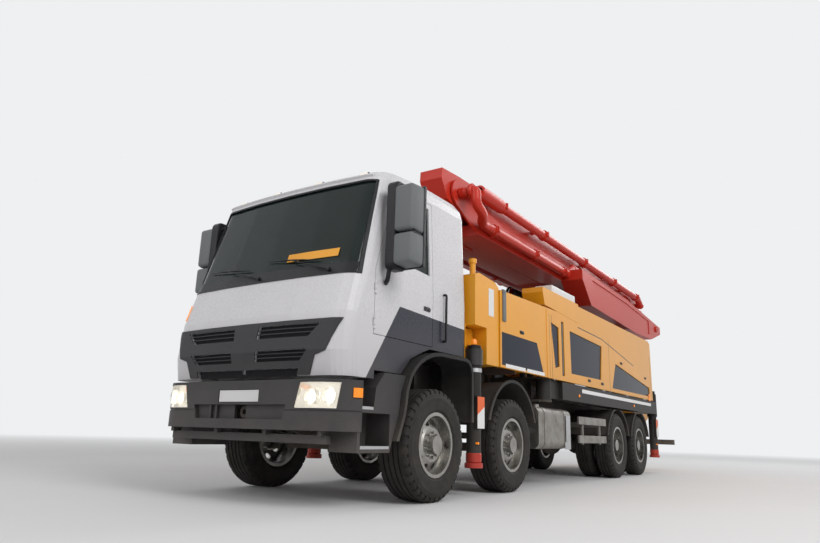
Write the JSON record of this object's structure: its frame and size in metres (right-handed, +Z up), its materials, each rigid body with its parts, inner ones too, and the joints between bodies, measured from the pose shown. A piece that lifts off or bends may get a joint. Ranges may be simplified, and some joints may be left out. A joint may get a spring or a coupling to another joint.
{
  "type": "concrete pump truck",
  "caption": "Lorry with a folded placing boom, a rear hopper, swing-out and telescopic support legs and a forward-control cab.",
  "frame": {"origin": "on the ground, at the middle of the outline's length and width", "axes": "+X forward, +Y to the vehicle's left, +Z up"},
  "size_m": [11.9, 2.98, 3.975],
  "materials": {
    "chassis_paint": "satin",
    "dark_metal": "satin",
    "cab_paint": "gloss",
    "body_paint": "gloss",
    "boom_paint": "gloss",
    "front_plastic": "satin",
    "guard_plastic": "matt",
    "trim_plastic": "gloss",
    "lamp_plastic": "clear",
    "tank_metal": "brushed",
    "leg_metal": "satin",
    "engine_iron": "cast",
    "pump_steel": "satin",
    "rod_chrome": "polished",
    "rim_steel": "polished",
    "tyre_rubber": "matt",
    "cab_pane": "tinted",
    "seat_fabric": "woven"
  },
  "bodies": {
    "chassis": {"frame": "chassis_paint", "engine_block": "engine_iron", "bumper": "front_plastic", "lamps": "lamp_plastic", "axle_beams": "chassis_paint", "mudguards": "guard_plastic", "side_tanks": "tank_metal", "boom_base": "body_paint", "water_tanks": "body_paint", "side_panels_left": "body_paint", "side_panels_right": "body_paint", "panel_inserts": "trim_plastic", "deck": "dark_metal", "pump_unit": "pump_steel", "hopper": "body_paint"},
    "grate": {"hopper_grate": "dark_metal"},
    "cab": {"cab_shell": "cab_paint", "grille": "front_plastic", "cab_glass": "cab_pane", "cab_interior": "seat_fabric"},
    "door_left": {"door_left": "cab_paint", "door_glass_left": "cab_pane"},
    "door_right": {"door_right": "cab_paint", "door_glass_right": "cab_pane"},
    "knuckle_1_left": {"knuckle_1_left": "dark_metal"},
    "wheel_1_left": {"tyre_1_left": "tyre_rubber", "rim_1_left": "rim_steel"},
    "knuckle_1_right": {"knuckle_1_right": "dark_metal"},
    "wheel_1_right": {"tyre_1_right": "tyre_rubber", "rim_1_right": "rim_steel"},
    "knuckle_2_left": {"knuckle_2_left": "dark_metal"},
    "wheel_2_left": {"tyre_2_left": "tyre_rubber", "rim_2_left": "rim_steel"},
    "knuckle_2_right": {"knuckle_2_right": "dark_metal"},
    "wheel_2_right": {"tyre_2_right": "tyre_rubber", "rim_2_right": "rim_steel"},
    "wheel_3_left": {"tyre_3_left": "tyre_rubber", "rim_3_left": "rim_steel"},
    "wheel_3_right": {"tyre_3_right": "tyre_rubber", "rim_3_right": "rim_steel"},
    "wheel_4_left": {"tyre_4_left": "tyre_rubber", "rim_4_left": "rim_steel"},
    "wheel_4_right": {"tyre_4_right": "tyre_rubber", "rim_4_right": "rim_steel"},
    "turret": {"turret": "boom_paint"},
    "arm_1": {"arm_1": "boom_paint"},
    "arm_2": {"arm_2": "boom_paint"},
    "arm_3": {"arm_3": "boom_paint"},
    "arm_4": {"arm_4": "boom_paint"},
    "arm_5": {"arm_5": "boom_paint"},
    "lift_barrel": {"lift_barrel": "boom_paint"},
    "lift_rod": {"lift_rod": "rod_chrome"},
    "front_beam_left": {"front_beam_left": "body_paint"},
    "front_leg_left": {"front_leg_left": "leg_metal"},
    "rear_beam_left": {"rear_beam_left": "body_paint"},
    "rear_leg_left": {"rear_leg_left": "leg_metal"},
    "front_beam_right": {"front_beam_right": "body_paint"},
    "front_leg_right": {"front_leg_right": "leg_metal"},
    "rear_beam_right": {"rear_beam_right": "body_paint"},
    "rear_leg_right": {"rear_leg_right": "leg_metal"}
  },
  "joints": [
    {"name": "cab_tilt", "type": "hinge", "parent": "chassis", "child": "cab", "pos_m": [5.89, 0, 0.97], "axis": [0, 1, 0], "range_deg": [0, 55]},
    {"name": "door_left_swing", "type": "hinge", "parent": "cab", "child": "door_left", "pos_m": [5.48, 1.15, 1.75], "axis": [0, 0, -1], "range_deg": [0, 75]},
    {"name": "door_right_swing", "type": "hinge", "parent": "cab", "child": "door_right", "pos_m": [5.48, -1.15, 1.75], "axis": [0, 0, 1], "range_deg": [0, 75]},
    {"name": "steer_1_left", "type": "hinge", "parent": "chassis", "child": "knuckle_1_left", "pos_m": [4.51, 0.93, 0.53], "axis": [0, 0, 1], "range_deg": [-40, 40]},
    {"name": "roll_1_left", "type": "hinge", "parent": "knuckle_1_left", "child": "wheel_1_left", "pos_m": [4.51, 1.055, 0.53], "axis": [0, 1, 0], "continuous": true},
    {"name": "steer_1_right", "type": "hinge", "parent": "chassis", "child": "knuckle_1_right", "pos_m": [4.51, -0.93, 0.53], "axis": [0, 0, 1], "range_deg": [-40, 40]},
    {"name": "roll_1_right", "type": "hinge", "parent": "knuckle_1_right", "child": "wheel_1_right", "pos_m": [4.51, -1.055, 0.53], "axis": [0, 1, 0], "continuous": true},
    {"name": "steer_2_left", "type": "hinge", "parent": "chassis", "child": "knuckle_2_left", "pos_m": [2.81, 0.93, 0.53], "axis": [0, 0, 1], "range_deg": [-28.5, 28.5]},
    {"name": "roll_2_left", "type": "hinge", "parent": "knuckle_2_left", "child": "wheel_2_left", "pos_m": [2.81, 1.055, 0.53], "axis": [0, 1, 0], "continuous": true},
    {"name": "steer_2_right", "type": "hinge", "parent": "chassis", "child": "knuckle_2_right", "pos_m": [2.81, -0.93, 0.53], "axis": [0, 0, 1], "range_deg": [-28.5, 28.5]},
    {"name": "roll_2_right", "type": "hinge", "parent": "knuckle_2_right", "child": "wheel_2_right", "pos_m": [2.81, -1.055, 0.53], "axis": [0, 1, 0], "continuous": true},
    {"name": "roll_3_left", "type": "hinge", "parent": "chassis", "child": "wheel_3_left", "pos_m": [-1.37, 0.93, 0.53], "axis": [0, 1, 0], "continuous": true},
    {"name": "roll_3_right", "type": "hinge", "parent": "chassis", "child": "wheel_3_right", "pos_m": [-1.37, -0.93, 0.53], "axis": [0, 1, 0], "continuous": true},
    {"name": "roll_4_left", "type": "hinge", "parent": "chassis", "child": "wheel_4_left", "pos_m": [-2.72, 0.93, 0.53], "axis": [0, 1, 0], "continuous": true},
    {"name": "roll_4_right", "type": "hinge", "parent": "chassis", "child": "wheel_4_right", "pos_m": [-2.72, -0.93, 0.53], "axis": [0, 1, 0], "continuous": true},
    {"name": "slew", "type": "hinge", "parent": "chassis", "child": "turret", "pos_m": [2.85, 0, 2.4], "axis": [0, 0, 1], "range_deg": [-185, 185]},
    {"name": "lift", "type": "hinge", "parent": "turret", "child": "arm_1", "pos_m": [2.8, 0, 3.3], "axis": [0, 1, 0], "range_deg": [0, 85]},
    {"name": "unfold_2", "type": "hinge", "parent": "arm_1", "child": "arm_2", "pos_m": [-5.5, 0, 3.15], "axis": [0, -1, 0], "range_deg": [0, 180]},
    {"name": "unfold_3", "type": "hinge", "parent": "arm_2", "child": "arm_3", "pos_m": [3.1, 0, 3.7], "axis": [0, 1, 0], "range_deg": [0, 180]},
    {"name": "unfold_4", "type": "hinge", "parent": "arm_3", "child": "arm_4", "pos_m": [-5.35, 0, 3.7], "axis": [0, -1, 0], "range_deg": [0, 180]},
    {"name": "unfold_5", "type": "hinge", "parent": "arm_4", "child": "arm_5", "pos_m": [2.53, 0, 3.7], "axis": [0, 1, 0], "range_deg": [0, 180]},
    {"name": "lift_cylinder_tilt", "type": "hinge", "parent": "turret", "child": "lift_barrel", "pos_m": [2.31, 0, 2.55], "axis": [0, 1, 0], "range_deg": [0, 27]},
    {"name": "lift_rod_extend", "type": "slide", "parent": "lift_barrel", "child": "lift_rod", "axis": [-0.0704, 0, 0.9975], "range_m": [0, 0.57]},
    {"name": "front_beam_left_slide", "type": "slide", "parent": "chassis", "child": "front_beam_left", "axis": [0, 1, 0], "range_m": [0, 1.45]},
    {"name": "front_leg_left_lower", "type": "slide", "parent": "front_beam_left", "child": "front_leg_left", "axis": [0, 0, -1], "range_m": [0, 0.28]},
    {"name": "rear_beam_left_swing", "type": "hinge", "parent": "chassis", "child": "rear_beam_left", "pos_m": [1.5, 1.08, 1.25], "axis": [0, 0, -1], "range_deg": [0, 35]},
    {"name": "rear_leg_left_lower", "type": "slide", "parent": "rear_beam_left", "child": "rear_leg_left", "axis": [0, 0, -1], "range_m": [0, 0.28]},
    {"name": "front_beam_right_slide", "type": "slide", "parent": "chassis", "child": "front_beam_right", "axis": [0, -1, 0], "range_m": [0, 1.45]},
    {"name": "front_leg_right_lower", "type": "slide", "parent": "front_beam_right", "child": "front_leg_right", "axis": [0, 0, -1], "range_m": [0, 0.28]},
    {"name": "rear_beam_right_swing", "type": "hinge", "parent": "chassis", "child": "rear_beam_right", "pos_m": [1.5, -1.08, 1.25], "axis": [0, 0, 1], "range_deg": [0, 35]},
    {"name": "rear_leg_right_lower", "type": "slide", "parent": "rear_beam_right", "child": "rear_leg_right", "axis": [0, 0, -1], "range_m": [0, 0.28]},
    {"name": "grate_lift", "type": "hinge", "parent": "chassis", "child": "grate", "pos_m": [-4.54, 0, 1.5003], "axis": [0, 1, 0], "range_deg": [0, 85]}
  ],
  "couplings": [
    {"joint": "steer_1_right", "follows": "steer_1_left", "ratio": 1},
    {"joint": "steer_2_left", "follows": "steer_1_left", "ratio": 0.7},
    {"joint": "steer_2_right", "follows": "steer_1_left", "ratio": 0.7},
    {"joint": "lift_cylinder_tilt", "follows": "lift", "ratio": 0.3129},
    {"joint": "lift_rod_extend", "follows": "lift", "m_per_rad": 0.379}
  ]
}
